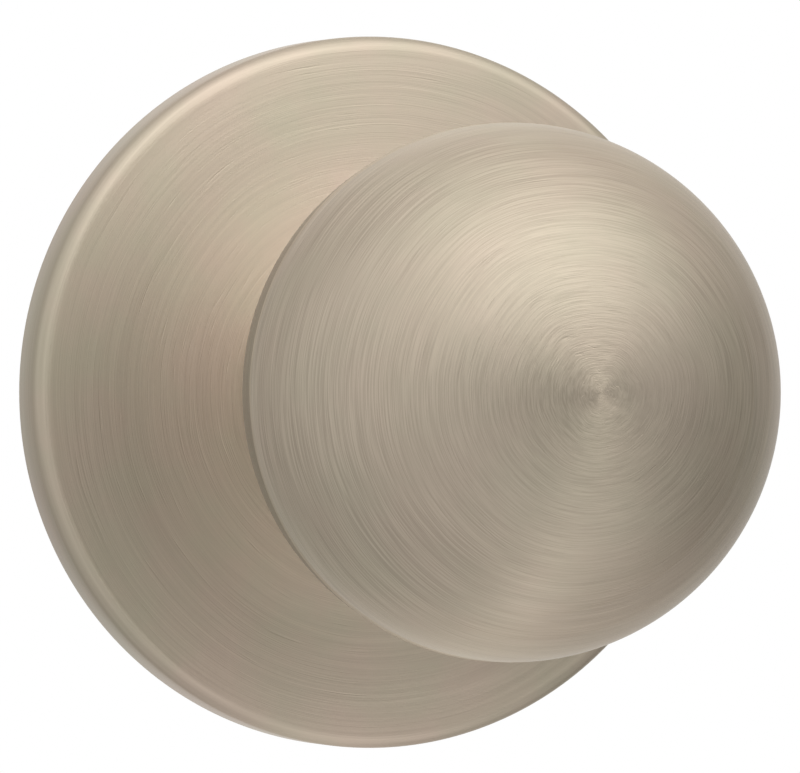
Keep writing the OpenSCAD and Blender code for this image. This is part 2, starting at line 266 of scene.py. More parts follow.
def join(name, pieces):
    """One mesh from several that are drawn apart."""
    work = bmesh.new()
    for piece in pieces:
        work.from_mesh(piece.data)
        bpy.data.objects.remove(piece)
    mesh = bpy.data.meshes.new(name)
    work.to_mesh(mesh)
    work.free()
    return settle(name, mesh)


def dress(piece, body, node, material):
    """Puts a new piece in the place of a CAD node."""
    piece.data.materials.clear()
    piece.data.materials.append(material)
    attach(piece, body)
    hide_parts(node)


# ---- Materials ----


class Nodes:
    """A short way of writing a node tree. A number, colour or output may stand for any input."""

    def __init__(self, tree):
        self.tree = tree
        tree.nodes.clear()

    def add(self, kind, inputs=None, **settings):
        node = self.tree.nodes.new(kind)
        for key, value in settings.items():
            setattr(node, key, value)
        for key, value in (inputs or {}).items():
            if isinstance(value, bpy.types.NodeSocket):
                self.tree.links.new(value, node.inputs[key])
            else:
                node.inputs[key].default_value = value
        return node

    def math(self, operation, a, b=0.0, clamp=False):
        return self.add("ShaderNodeMath", {0: a, 1: b}, operation=operation, use_clamp=clamp).outputs[0]

    def span(self, value, low, high, to_low=0.0, to_high=1.0):
        """What value gives when low to high is stretched to to_low to to_high and held beyond."""
        ends = {0: value, 1: low, 2: high, 3: to_low, 4: to_high}
        return self.add("ShaderNodeMapRange", ends).outputs[0]

    def noise(self, vector, scale, detail=3.0, rough=0.5):
        inputs = {"Vector": vector, "Scale": scale, "Detail": detail, "Roughness": rough}
        return self.add("ShaderNodeTexNoise", inputs).outputs[0]

    def vector(self, operation, a, b=(0, 0, 0)):
        return self.add("ShaderNodeVectorMath", {0: a, 1: b}, operation=operation).outputs[0]

    def scale(self, vector, factor):
        inputs = {0: vector, "Scale": factor}
        return self.add("ShaderNodeVectorMath", inputs, operation="SCALE").outputs[0]

    def round_place(self, way_round, turns, along, per_mm):
        """A place in which noise is stretched round the axis into lines."""
        lift = self.add("ShaderNodeCombineXYZ", {1: self.math("MULTIPLY", along, per_mm)}).outputs[0]
        return self.vector("ADD", self.scale(way_round, turns), lift)

    def lines(self, way_round, turns, along, per_mm, detail):
        return self.noise(self.round_place(way_round, turns, along, per_mm), 1.0, detail, 0.6)

    def shake(self, vector, scale, amount):
        """A random vector, up to about half of amount each way."""
        noise = self.add("ShaderNodeTexNoise", {"Vector": vector, "Scale": scale}).outputs[1]
        return self.scale(self.vector("SUBTRACT", noise, (0.5, 0.5, 0.5)), amount)

    def mix(self, share, a, b):
        node = self.add("ShaderNodeMix", {0: share, 6: a, 7: b}, data_type="RGBA")
        return node.outputs[2]


def new_material(name):
    material = bpy.data.materials.new(name)
    material.use_nodes = True
    return material, Nodes(material.node_tree)


def brushed_nickel(
    name, level=1.0, fine_share=0.5, medium_share=0.07, blush=0.4, middle=1.0, rim=1.0, relief=1.0, left=2.2
):
    """Satin nickel, brushed in circles about the knob's axis, under a thin clear lacquer.
    level is how light the metal is, middle how much painted light lifts a rose near its middle and rim how
    much painted shade darkens its rim, and blush how much of the nickel's faint pink and green shows.
    fine_share and medium_share are how plain the fine and the wider lines are in the colour, left how much
    plainer the fine ones are in the half towards -X, and relief how deep all of them are."""
    material, n = new_material(name)
    place = n.add("ShaderNodeTexCoord").outputs["Object"]
    uv = n.add("ShaderNodeUVMap", uv_map="along").outputs[0]
    along = n.math("MULTIPLY", n.add("ShaderNodeSeparateXYZ", {0: uv}).outputs[1], UV_LENGTH)
    split = n.add("ShaderNodeSeparateXYZ", {0: place})
    flat = n.add("ShaderNodeCombineXYZ", {0: split.outputs[0], 2: split.outputs[2]}).outputs[0]
    way_round = n.vector("NORMALIZE", flat)
    reach = n.add("ShaderNodeVectorMath", {0: flat}, operation="LENGTH").outputs["Value"]
    # Lines of (way round, distance along the profile in millimetres), which drift a little
    drift = n.span(n.noise(way_round, 1.5, 1.0), 0.3, 0.7, -0.15, 0.15)
    line = n.math("ADD", along, drift)
    fine = n.lines(way_round, 2.2, line, 9.0, 2.0)
    medium = n.lines(way_round, 1.6, line, 2.6, 2.0)
    broad = n.lines(way_round, 1.2, line, 0.45, 2.0)
    crossing = n.math("ADD", along, n.math("MULTIPLY", drift, 4.0))
    scratch = n.span(n.lines(way_round, 3.0, crossing, 3.4, 1.0), 0.66, 0.78)
    cloud = n.noise(place, 75.0, 3.0, 0.6)
    # The fine lines are plainer in some patches than in others
    patch = n.span(n.noise(place, 40.0, 2.0), 0.35, 0.65, 0.5, 1.4)
    patch = n.math("MULTIPLY", patch, n.span(split.outputs[0], -0.02, 0.0, left, 1.0))
    tone = n.math("MULTIPLY", n.span(fine, 0.36, 0.64, -fine_share, fine_share), patch)
    tone = n.math("ADD", tone, n.span(medium, 0.3, 0.7, -medium_share, medium_share))
    tone = n.math("ADD", tone, n.span(broad, 0.3, 0.7, 0.4, 0.6))
    tone = n.math("SUBTRACT", tone, n.math("MULTIPLY", scratch, 0.2), clamp=True)
    dark, light, warm, cool = [
        tuple(c * level for c in colour) + (1,)
        for colour in (
            (0.35, 0.30, 0.23), (0.53, 0.46, 0.36), (0.47, 0.38, 0.31), (0.43, 0.39, 0.30),
        )
    ]
    colour = n.mix(tone, dark, light)
    tint = n.mix(n.span(cloud, 0.35, 0.65), warm, cool)
    colour = n.mix(blush, colour, tint)
    # Painted light near a rose's middle, against the ball's shade there, and painted shade on its rim and
    # side wall
    if middle != 1.0 or rim != 1.0:
        inwards = n.span(reach, 0.015, 0.025, middle, 1.0)
        outwards = n.span(reach, 0.0322, 0.0334, 1.0, rim)
        colour = n.scale(colour, n.math("MULTIPLY", inwards, outwards))
    rough = n.math("ADD", n.span(fine, 0.3, 0.7, 0.385, 0.455), n.span(cloud, 0.3, 0.7, -0.015, 0.015))
    height = n.math("ADD", fine, n.math("MULTIPLY", medium, 0.4))
    height = n.math("SUBTRACT", height, n.math("MULTIPLY", scratch, 0.5))
    bump = n.add("ShaderNodeBump", {"Strength": relief, "Distance": 0.00003, "Height": height}).outputs[0]
    # The brushing runs round the axis, less and less exactly within a few millimetres of the middle
    tangent = n.add("ShaderNodeTangent", direction_type="RADIAL", axis="Y").outputs[0]
    ripple = n.shake(n.round_place(way_round, 1.6, line, 3.4), 1.0, 0.22)
    loose = n.math("POWER", n.math("DIVIDE", 0.0028, n.math("MAXIMUM", reach, 0.002)), 2.0)
    stray = n.shake(place, 700.0, loose)
    tangent = n.vector("NORMALIZE", n.vector("ADD", n.vector("ADD", tangent, ripple), stray))
    shader = n.add(
        "ShaderNodeBsdfPrincipled",
        {
            "Base Color": colour, "Roughness": rough, "Normal": bump, "Tangent": tangent,
            "Metallic": 1.0, "Anisotropic": 0.9, "Anisotropic Rotation": 0.25,
            "Coat Weight": 0.25, "Coat Roughness": 0.03, "Coat IOR": 1.45,
            "Specular Tint": (0.75, 0.68, 0.60, 1),
        },
    )
    n.add("ShaderNodeOutputMaterial", {0: shader.outputs[0]})
    return material


def plain_metal(name, dark, light, rough, grain, stretch=(1, 1, 1), relief=0.15, worn=0.0, metallic=1.0):
    """A hidden part's finish: cloudy between dark and light, a fine grain that stretch draws out
    into lines, and edges rubbed lighter by the share worn. metallic is 0 for a plastic."""
    material, n = new_material(name)
    place = n.add("ShaderNodeTexCoord").outputs["Object"]
    cloud = n.noise(place, 260.0, 4.0, 0.6)
    grained = n.vector("MULTIPLY", place, stretch)
    speck = n.noise(grained, grain, 4.0, 0.65)
    coarse = n.noise(grained, grain * 0.3, 2.0, 0.5)
    share = n.math("ADD", n.span(cloud, 0.25, 0.75, 0, 0.6), n.span(coarse, 0.3, 0.7, 0, 0.4), clamp=True)
    colour = n.mix(share, dark + (1,), light + (1,))
    roughness = n.span(speck, 0.3, 0.7, rough - 0.05, rough + 0.05)
    roughness = n.math("ADD", roughness, n.span(cloud, 0.3, 0.7, -0.03, 0.03))
    if worn:
        edge = n.add("ShaderNodeNewGeometry").outputs["Pointiness"]
        rubbed = n.math("MULTIPLY", n.span(edge, 0.54, 0.62), n.span(speck, 0.4, 0.6, 0.4, 1.0))
        colour = n.mix(rubbed, colour, tuple(min(1, c * (1 + worn)) for c in light) + (1,))
        roughness = n.math("SUBTRACT", roughness, n.math("MULTIPLY", rubbed, 0.1))
    bump = n.add("ShaderNodeBump", {"Strength": relief, "Distance": 0.00005, "Height": speck}).outputs[0]
    shader = n.add(
        "ShaderNodeBsdfPrincipled",
        {"Base Color": colour, "Roughness": roughness, "Normal": bump, "Metallic": metallic},
    )
    n.add("ShaderNodeOutputMaterial", {0: shader.outputs[0]})
    return material


# ---- The knob ----

ball_r = radius("knob_front_shell")
seam_z, ball_top = heights("knob_front_shell")
ball_z = ball_top - ball_r
shell_t = 0.9
neck_r = 11.5
shank_r = 8.5
bore_r = 7.0
pin_r, pin_z = 1.25, 14.0
# Gaps round what is pressed together and round what turns
snug, running = 0.05, 0.08
# How far out the driver's lug and the housing's stops for it reach
stop_r = 17.2


def ball_angle(r, z):
    """Angle in degrees from the ball's widest circle to the height z, on a sphere of radius r."""
    return degrees(asin((z - ball_z) / r))


def ball_arc(r, start, end, steps):
    """Points on a sphere about the ball's centre, the angles in degrees from its widest circle."""
    return arc((0, ball_z), r, start, end, steps)


def front_shell():
    """The front of the ball, with its edge rolled in at the seam."""
    inner_r = ball_r - shell_t
    edge = 0.3
    outside = ball_arc(ball_r, 90, ball_angle(ball_r, seam_z + edge), 64)
    r = outside[-1][0]
    rolled = [
        (r - 0.01, seam_z + 0.19), (r - 0.05, seam_z + 0.09), (r - 0.13, seam_z + 0.025),
        (r - 0.24, seam_z), (inner_r + 0.1, seam_z),
    ]
    inside = ball_arc(inner_r, ball_angle(inner_r, seam_z + 0.1), 90, 48)
    return lathe("front_shell", outside + rolled + inside, 192)


def back_shell():
    """The back of the ball, drawn in to the neck, with a lip that reaches into the front shell."""
    low, high = heights("knob_back_shell")
    step, fillet = 0.15, 3.5
    back_r = ball_r - step
    centre = (neck_r + fillet, ball_z - sqrt((back_r + fillet) ** 2 - (neck_r + fillet) ** 2))
    lean = degrees(atan2(ball_z - centre[1], centre[0]))
    edge_z = seam_z - snug
    lip_r = ball_r - shell_t - snug
    root = seam_z - 1.2
    outside = ball_arc(back_r, ball_angle(back_r, edge_z - 0.12), -lean, 60)
    outside += arc(centre, fillet, 180 - lean, 180, 14)[1:]
    outside += [(neck_r, low + 0.25), (neck_r - 0.08, low + 0.08), (neck_r - 0.25, low)]
    inside = [(neck_r - shell_t + 0.1, low), (neck_r - shell_t, low + 0.1)]
    inside += arc(centre, fillet + shell_t, 180, 180 - lean, 14)
    inner_r = back_r - shell_t
    inside += ball_arc(inner_r, -lean, ball_angle(inner_r, root), 40)[1:]
    inner_r = lip_r - shell_t
    lip = ball_arc(inner_r, ball_angle(inner_r, root), ball_angle(inner_r, high - 0.1), 8)
    lip += ball_arc(lip_r, ball_angle(lip_r, high - 0.1), ball_angle(lip_r, edge_z + 0.02), 10)
    r = outside[0][0]
    corner = [(r - 0.12, edge_z), (r - 0.03, edge_z - 0.04)]
    return lathe("back_shell", outside + inside + lip + corner, 192)


def brace():
    """The flanged disc that ties the ball to the shank, with six lightening holes."""
    low, high = heights("shank_plate")
    outer_r, t = radius("shank_plate"), 1.2
    piece = lathe("brace", soften([
        (shank_r, low, 0.2), (shank_r + t, low, 0.3), (shank_r + t, high - t, 0.6),
        (outer_r, high - t, 0.25), (outer_r, high, 0.25), (shank_r, high, 0.2),
    ]), 128)
    holes, hole_r, reach = 6, 3.4, (outer_r + shank_r) / 2 + 0.6
    for a in [tau * k / holes for k in range(holes)]:
        drill(piece, (reach * cos(a), reach * sin(a)), hole_r, high - t, high, 0.2)
    return piece


def neck_bush():
    """The flanged spacer between the neck and the shank."""
    low, high = heights("neck_bush")
    outer_r, t = radius("neck_bush"), 1.6
    inner_r = neck_r - shell_t
    return lathe("bush_casting", soften([
        (shank_r, low, 0.25), (inner_r, low, 0.3), (inner_r, high - t, 0.3),
        (outer_r, high - t, 0.3), (outer_r, high, 0.4), (shank_r, high, 0.25),
    ]), 128)


def sleeve():
    """The tube shank: a groove for the retaining ring, two slots for the driver and a pin hole."""
    low, high = heights("knob_sleeve")
    ring_low, ring_high = ring_groove()
    groove_r = shank_r - 0.5
    piece = lathe("sleeve", soften([
        (bore_r, low, 0.3), (shank_r, low, 0.35), (shank_r, ring_low, 0.06),
        (groove_r, ring_low, 0.08), (groove_r, ring_high, 0.08), (shank_r, ring_high, 0.06),
        (shank_r, high, 0.3), (bore_r, high, 0.25),
    ]), 128)
    slot_end, half_width, past_shank = heights("spring_driver")[1], 1.5, 12
    corners = [
        Vector((x, -z, y)) * MM
        for x in (-past_shank, past_shank) for y in (-half_width, half_width) for z in (low - 1, slot_end)
    ]
    sides = [(0, 1, 3, 2), (4, 6, 7, 5), (0, 4, 5, 1), (2, 3, 7, 6), (0, 2, 6, 4), (1, 5, 7, 3)]
    slot = build("slot", corners, sides)
    combine(piece, slot, "DIFFERENCE")
    return cross_drill(piece, pin_r, pin_z)


def ring_groove():
    """Lowest and highest point of the groove that the retaining ring sits in."""
    low, high = heights("retaining_ring")
    return low - snug, high + snug


def square(half, corner, steps=4):
    """A square outline with round corners."""
    c = half - corner
    return [
        (x + corner * cos(a), z + corner * sin(a))
        for k, (x, z) in enumerate([(c, c), (-c, c), (-c, -c), (c, -c)])
        for a in [radians(90 * k + 90 * i / steps) for i in range(steps + 1)]
    ]


def socket():
    """The round plug in the shank, with a square hole for the spindle and a hole for the pin."""
    low, high = heights("spindle_socket")
    hole = square(radius("spindle") + snug, 0.25)
    plug = plate("socket", disc((0, 0), bore_r, 96), [hole], low, high, 0.3)
    return cross_drill(plug, pin_r, pin_z)


def spindle():
    """A square bar with bevels turned on both ends and its corners a little round."""
    low, high = heights("spindle")
    half, bevel = radius("spindle"), 1.4
    outline = square(half, 0.35, 5)
    around = []
    for p, q in zip(outline, outline[1:] + outline[:1]):
        x, y = q[0] - p[0], q[1] - p[1]
        steps = 8 if hypot(x, y) > half else 1
        around += [(p[0] + x * i / steps, p[1] + y * i / steps) for i in range(steps)]
    corner = max(hypot(*p) for p in around)
    rise = [(0, corner - bevel - 0.12), (0.08, corner - bevel)]
    rise += [(bevel * k / 8, corner - bevel * (1 - k / 8)) for k in range(1, 9)]
    levels = [(low + z, r) for z, r in rise] + [(low + 20, corner), (low + 40, corner)]
    levels += [(high - z, r) for z, r in rise[::-1]]
    vertices, faces = [], []
    for z, r in levels:
        for x, y in around:
            size = min(1.0, r / hypot(x, y))
            vertices.append(Vector((x * size, -z, y * size)) * MM)
    n = len(around)
    for i in range(len(levels) - 1):
        for k in range(n):
            m = (k + 1) % n
            faces.append((i * n + k, i * n + m, (i + 1) * n + m, (i + 1) * n + k))
    faces += [tuple(range(n))[::-1], tuple(range((len(levels) - 1) * n, len(levels) * n))]
    piece = build("spindle_bar", vertices, faces, sharp=20)
    face_outwards(piece.data)
    return cross_drill(piece, pin_r, pin_z)


def pin():
    """The cross pin, a hair thinner than its holes."""
    half, r = radius("spindle_pin"), pin_r - 0.01
    piece = lathe("pin", soften([(0, -half), (r, -half, 0.25), (r, half, 0.25), (0, half)]), 48)
    return lay_across(piece, pin_z)


def driver():
    """The plate that winds the spring: tongues in the shank's slots, and a lug between the stops."""
    low, high = heights("spring_driver")
    rim, lug_half = 14.4, radians(6)
    across_lug = [pi / 2 + lug_half * (k / 4 - 1) for k in range(9)]
    outside = [(stop_r * cos(a), stop_r * sin(a)) for a in across_lug]
    start = asin(stop_r * sin(lug_half) / rim) * 0.98
    outside += [
        (rim * cos(a), rim * sin(a))
        for a in [pi / 2 + start + (tau - 2 * start) * k / 120 for k in range(121)]
    ]
    inner, tongue_r, half = shank_r + snug, 7.2, 1.45
    a = asin(half / inner)
    hole = []
    for side in (0, pi):
        hole += [
            (inner * cos(t), inner * sin(t)) for t in [side + a + (pi - 2 * a) * k / 40 for k in range(41)]
        ]
        hole += [(-tongue_r * cos(side), y * cos(side)) for y in (half, -half)]
    end = spring_path()[-1][0] / spring_r
    tail = disc((spring_r * cos(end), spring_r * sin(end)), wire_r + 0.2, 24)
    return plate("driver", outside, [hole, tail], low, high, 0.12)


def wave_washer():
    """A thin washer bent into three waves."""
    low, high = heights("wave_washer")
    t, swing, waves, edge = 0.3, 0.22, 3, 0.07
    below, above = (low + high - t) / 2, (low + high + t) / 2
    inner, outer = shank_r + 0.2, radius("wave_washer")
    section = [(inner, below, edge), (outer, below, edge), (outer, above, edge), (inner, above, edge)]
    return lathe("wave", soften(section, 2), 180, shape=lambda r, z, a: (r, a, z + swing * cos(waves * a)))


def flat_washer(name, node, inner):
    """A flat washer with edges rounded as if stamped."""
    low, high = heights(node)
    outer = radius(node)
    return lathe(name, soften([
        (inner, low, 0.08), (outer, low, 0.14), (outer, high, 0.14), (inner, high, 0.08),
    ], 3), 128)


def retaining_ring():
    """A snap ring with a gap at the bottom and an ear with a hole on each side of it."""
    low, high = heights("retaining_ring")
    ring_r, inner, ear_r, ear_at, hole_r, gap = 10.1, 8.05, 1.5, 10.0, 0.65, radians(16)
    ear = gap + radians(8)

    def reach(a):
        """The outline's radius at an angle from the middle of the gap, with an ear on each side of it."""
        off = abs(abs(a) - ear)
        if ear_at * sin(off) >= ear_r or off > 1:
            return ring_r
        return max(ring_r, ear_at * cos(off) + sqrt(ear_r ** 2 - (ear_at * sin(off)) ** 2))

    angles = [gap + (tau - 2 * gap) * k / 240 for k in range(241)]
    outside = [(reach(a if a < pi else a - tau), a) for a in angles] + [(inner, a) for a in angles[::-1]]
    outside = [(r * cos(a - pi / 2), r * sin(a - pi / 2)) for r, a in outside]
    middles = [side * ear - pi / 2 for side in (-1, 1)]
    holes = [disc((ear_at * cos(a), ear_at * sin(a)), hole_r, 24) for a in middles]
    return plate("snap_ring", outside, holes, low, high, 0.08)


# ---- The chassis ----

plate_back, plate_front = 1.2, 2.8
# The back of the housing's floor and flange
floor_back = -0.5
rivet_reach, rivet_r = 18.0, 1.45
rivet_angles = [radians(a) for a in (50, 130, 230, 310)]
post_x, post_r, tenon_r = 19.05, 3.8, 2.6
bearing_r = shank_r + 1
crown_rise, rose_corner, rim_h, rose_t = 1.9, 1.6, 4.3, 1.0


def crown():
    """Centre height and radius of the shallow sphere that is the rose's crown."""
    x = radius("rose") - rose_corner
    rise = crown_rise + rose_corner
    r = (x ** 2 + rise ** 2 - rose_corner ** 2) / (2 * crown_rise)
    return rim_h + rise - r, r


def rose():
    """The domed plate against the door, with four tabs turned in behind the mounting plate."""
    rose_r = radius("rose")
    crown_z, crown_r = crown()
    corner = (rose_r - rose_corner, rim_h)
    tangent = degrees(asin(corner[0] / (crown_r - rose_corner)))
    hole_r, under_r = neck_r + 1.35, crown_r - rose_t
    outside = [(rose_r - 0.15, 0), (rose_r - 0.04, 0.04), (rose_r, 0.15)]
    outside += arc(corner, rose_corner, 0, 90 - tangent, 14)
    outside += arc((0, crown_z), crown_r, 90 - tangent, degrees(acos((hole_r + 0.3) / crown_r)), 40)[1:]
    z = outside[-1][1]
    under = arc((0, crown_z), under_r, degrees(acos((hole_r + 0.12) / under_r)), 90 - tangent, 30)
    edge = [
        (hole_r + 0.13, z - 0.03), (hole_r + 0.03, z - 0.12), (hole_r, z - 0.3),
        (hole_r, under[0][1] + 0.12),
    ]
    inside = arc(corner, rose_corner - rose_t, 90 - tangent, 0, 8)[1:]
    inside += [(rose_r - rose_t, 0.1), (rose_r - rose_t + 0.1, 0)]
    piece = lathe("rose_plate", outside + edge + under + inside, 256)
    # The tabs start just above the rose's back edge, so that no two faces lie in one plane
    low, high, half = 0.03, 0.75, radians(4)
    inner, outer = rose_r - rose_t - 1.15, rose_r - 0.45
    for k in range(4):
        middle = pi / 4 + k * pi / 2
        tab = soften([(inner, low, 0.3), (outer, low), (outer, high), (inner, high, 0.3)])
        combine(piece, lathe("tab", tab, 8, start=middle - half, end=middle + half), "UNION")
    return piece


def neck_ring():
    """The ring that guides the neck and fills the rose's opening."""
    low, high = heights("neck_ring")
    outer, lip = radius("neck_ring"), neck_r + 1.3
    skirt, bore = neck_r + 0.7, neck_r + running
    crown_z, crown_r = crown()
    shoulder = crown_z + sqrt((crown_r - rose_t) ** 2 - outer ** 2) - snug
    return lathe("neck_bearing", soften([
        (skirt, low, 0.2), (outer, low, 0.25), (outer, shoulder, 0.25), (lip, shoulder, 0.1),
        (lip, high, 0.4), (bore, high, 0.2), (bore, shoulder - 0.9, 0.2), (skirt, shoulder - 0.9, 0.2),
    ]), 128)


def mounting_plate():
    """The pressed plate inside the rose: a flat pan with a raised rim, drilled for posts and rivets."""
    low, high = heights("mounting_plate")
    outer, t, pan = radius("mounting_plate"), 1.6, 27.0
    under = high - t
    hub = shank_r + 2.15
    # Two plain rings on the flat keep what the holes cut out of it well inside the pan's edge
    near, far = 20.5, 24.0
    piece = lathe("pressed_plate", soften([
        (hub, plate_back, 0.12), (near, plate_back), (far, plate_back), (pan + 1, plate_back, 1.6),
        (pan + 2.2, under, 0.8), (outer - t, under, 0.8), (outer - t, low, 0.15), (outer, low, 0.3),
        (outer, high, 1.4), (pan + 1.2, high, 1.6), (pan, plate_front, 0.8), (far, plate_front),
        (near, plate_front), (hub, plate_front, 0.2),
    ], 6), 192)
    for side in (-1, 1):
        drill(piece, (side * post_x, 0), tenon_r, plate_back, plate_front, 0.1)
    for a in rivet_angles:
        drill(piece, (rivet_reach * cos(a), rivet_reach * sin(a)), rivet_r, plate_back, plate_front, 0.1)
    return piece


def screw_post(name, side):
    """A post with a real internal thread, riveted into the plate by its tenon."""
    low, high = heights("screw_post_left")
    hole_r, depth, pitch, groove, bevel = 1.73, 17.0, 0.794, 0.33, 0.5
    thread_low, thread_top, rings_per_turn = low + 0.5, low + depth - 1.2, 6
    thread = thread_top - thread_low
    steps = ceil(thread / pitch * rings_per_turn)
    bore = [(hole_r, thread_low + thread * k / steps) for k in range(steps + 1)]

    def cut(r, z, a):
        """Cuts the thread into the points of the bore, fading out over a turn at both ends."""
        if r != hole_r:
            return r, a, z
        turn = (z / pitch - a / tau) % 1
        fade = min(1.0, (z - thread_low) / pitch, (thread_top - z) / pitch)
        return r + groove * fade * max(0.0, 1 - abs(turn - 0.5) * 2.4), a, z

    head_r = 3.5
    outside = [
        (post_r - bevel, low), (post_r, low + bevel), (post_r, plate_back - 0.1),
        (post_r - 0.1, plate_back), (tenon_r, plate_back), (tenon_r, plate_front),
        (head_r - 0.1, plate_front), (head_r, plate_front + 0.12), (head_r - 0.14, plate_front + 0.4),
        (head_r - 0.5, plate_front + 0.62), (2.5, high), (1.1, high), (0.9, high - 0.18), (0, high - 0.25),
    ]
    inside = [(0, low + depth - 0.05), (hole_r * 0.99, low + depth - 0.05)]
    mouth = [(hole_r + 0.45, low)]
    return lathe(name, outside + inside + bore[::-1] + mouth, 40, (side * post_x, 0), cut)


def spring_housing():
    """The cast cup round the spring, with the hub, two stop ribs and the holes through its flange."""
    low = heights("spring_housing")[0]
    cup_r, cup_wall, cup_end = 14.8, 1.2, -7.3
    flange_r, hub_r, hub_end, hub_top = 21.0, shank_r + 2.1, cup_end - 0.2, 3.4
    piece = lathe("housing", soften([
        (bearing_r, hub_end, 0.15), (hub_r, hub_end, 0.25), (hub_r, floor_back, 0.6),
        (cup_r - cup_wall, floor_back, 0.6), (cup_r - cup_wall, cup_end, 0.25), (cup_r, cup_end, 0.25),
        (cup_r, floor_back, 0.8), (flange_r, floor_back, 0.35), (flange_r, plate_back, 0.15),
        (hub_r, plate_back), (hub_r, hub_top, 0.25), (bearing_r, hub_top, 0.15),
    ]), 160)
    # Ribs on the outside of the cup stop the driver's lug
    half = radians(3.5)
    for middle in (radians(19), radians(161)):
        rib = soften([
            (cup_r - 0.6, floor_back + 0.8), (stop_r, floor_back + 0.8), (stop_r, low, 0.4),
            (cup_r, low, 0.1), (cup_r, cup_end, 0.1), (cup_r - 0.6, cup_end + 0.3),
        ])
        combine(piece, lathe("rib", rib, 6, start=middle - half, end=middle + half), "UNION")
    for side in (-1, 1):
        drill(piece, (side * post_x, 0), post_r + 0.1, floor_back, plate_back, 0.1)
    for a in rivet_angles:
        drill(piece, (rivet_reach * cos(a), rivet_reach * sin(a)), rivet_r, floor_back, plate_back, 0.1)
    return drill(piece, (spring_r, 0), wire_r + 0.2, floor_back, plate_back, 0.15)


def rivets():
    """Four rivets with a flat head behind and a domed one in front."""
    low, high = heights("housing_rivets")
    head_r, dome_h = 2.5, high - plate_front
    angles = [pi / 2 * k / 10 for k in range(11)]
    dome = [(head_r * cos(a), plate_front + dome_h * sin(a)) for a in angles]
    profile = soften([
        (0, low), (head_r, low, 0.3), (head_r, floor_back, 0.12), (rivet_r, floor_back),
        (rivet_r, plate_front),
    ]) + dome
    return join("rivet_set", [
        lathe("rivet", profile, 48, (rivet_reach * cos(a), rivet_reach * sin(a))) for a in rivet_angles
    ])


def bearing():
    """The flanged bush that the shank turns in."""
    low, high = heights("knob_bearing")
    bore, flange, t = shank_r + running, radius("knob_bearing"), 0.8
    return lathe("bearing_bush", soften([
        (bore, low, 0.15), (bearing_r, low, 0.2), (bearing_r, high - t, 0.1),
        (flange, high - t, 0.15), (flange, high, 0.25), (bore, high, 0.2),
    ]), 128)


# ---- The return spring ----

spring_r, wire_r, spring_bend, spring_turns = 12.0, 0.65, 1.2, 3


def spring_path():
    """The spring unrolled from its cylinder: (way round, height) from the tail in the housing to
    the one in the driver."""
    bottom, top = heights("return_spring")
    slope = (2 * wire_r + 0.1) / (tau * spring_r)
    lean = atan2(slope, 1)
    front = -0.7

    def first(a):
        """A point of the first bend."""
        return spring_bend * (1 + cos(a)), front + spring_bend * sin(a)

    start = first(3 * pi / 2 - lean)
    length = tau * spring_r * spring_turns
    end = (start[0] + length * cos(lean), start[1] - length * sin(lean))
    centre = (end[0] - spring_bend * sin(lean), end[1] - spring_bend * cos(lean))
    turn = pi / 2 - lean
    path = [(0.0, top - k * (top - front) / 4) for k in range(4)]
    path += [first(pi + turn * k / 10) for k in range(11)]
    steps, way, fall = 96 * spring_turns, end[0] - start[0], end[1] - start[1]
    path += [(start[0] + way * k / steps, start[1] + fall * k / steps) for k in range(1, steps)]
    angles = [turn * (1 - k / 10) for k in range(11)]
    path += [(centre[0] + spring_bend * cos(a), centre[1] + spring_bend * sin(a)) for a in angles]
    tail = path[-1]
    return path + [(tail[0], tail[1] + (bottom - tail[1]) * k / 4) for k in range(1, 5)]


def return_spring():
    """The spring's path wound back onto its cylinder, as round wire with its ends a little thinner."""
    path, sides, end_bevel = spring_path(), 14, 0.12
    last = len(path) - 1
    vertices, faces = [], []
    for i, (way, z) in enumerate(path):
        p, q = path[max(i - 1, 0)], path[min(i + 1, last)]
        along = Vector((q[0] - p[0], q[1] - p[1])).normalized()
        a = way / spring_r
        outwards, onwards = Vector((cos(a), 0, sin(a))), Vector((-sin(a), 0, cos(a)))
        up = Vector((0, -1, 0))
        across = along.x * up - along.y * onwards
        middle = outwards * spring_r + up * z
        r = wire_r - end_bevel if i in (0, last) else wire_r
        for t in [tau * k / sides for k in range(sides)]:
            vertices.append((middle + r * (cos(t) * outwards + sin(t) * across)) * MM)
    for i in range(last):
        for k in range(sides):
            m = (k + 1) % sides
            faces.append((i * sides + k, i * sides + m, (i + 1) * sides + m, (i + 1) * sides + k))
    faces += [tuple(range(sides))[::-1], tuple(range(last * sides, (last + 1) * sides))]
    piece = build("torsion_spring", vertices, faces, sharp=50)
    face_outwards(piece.data)
    return piece


# ---- Stage ----


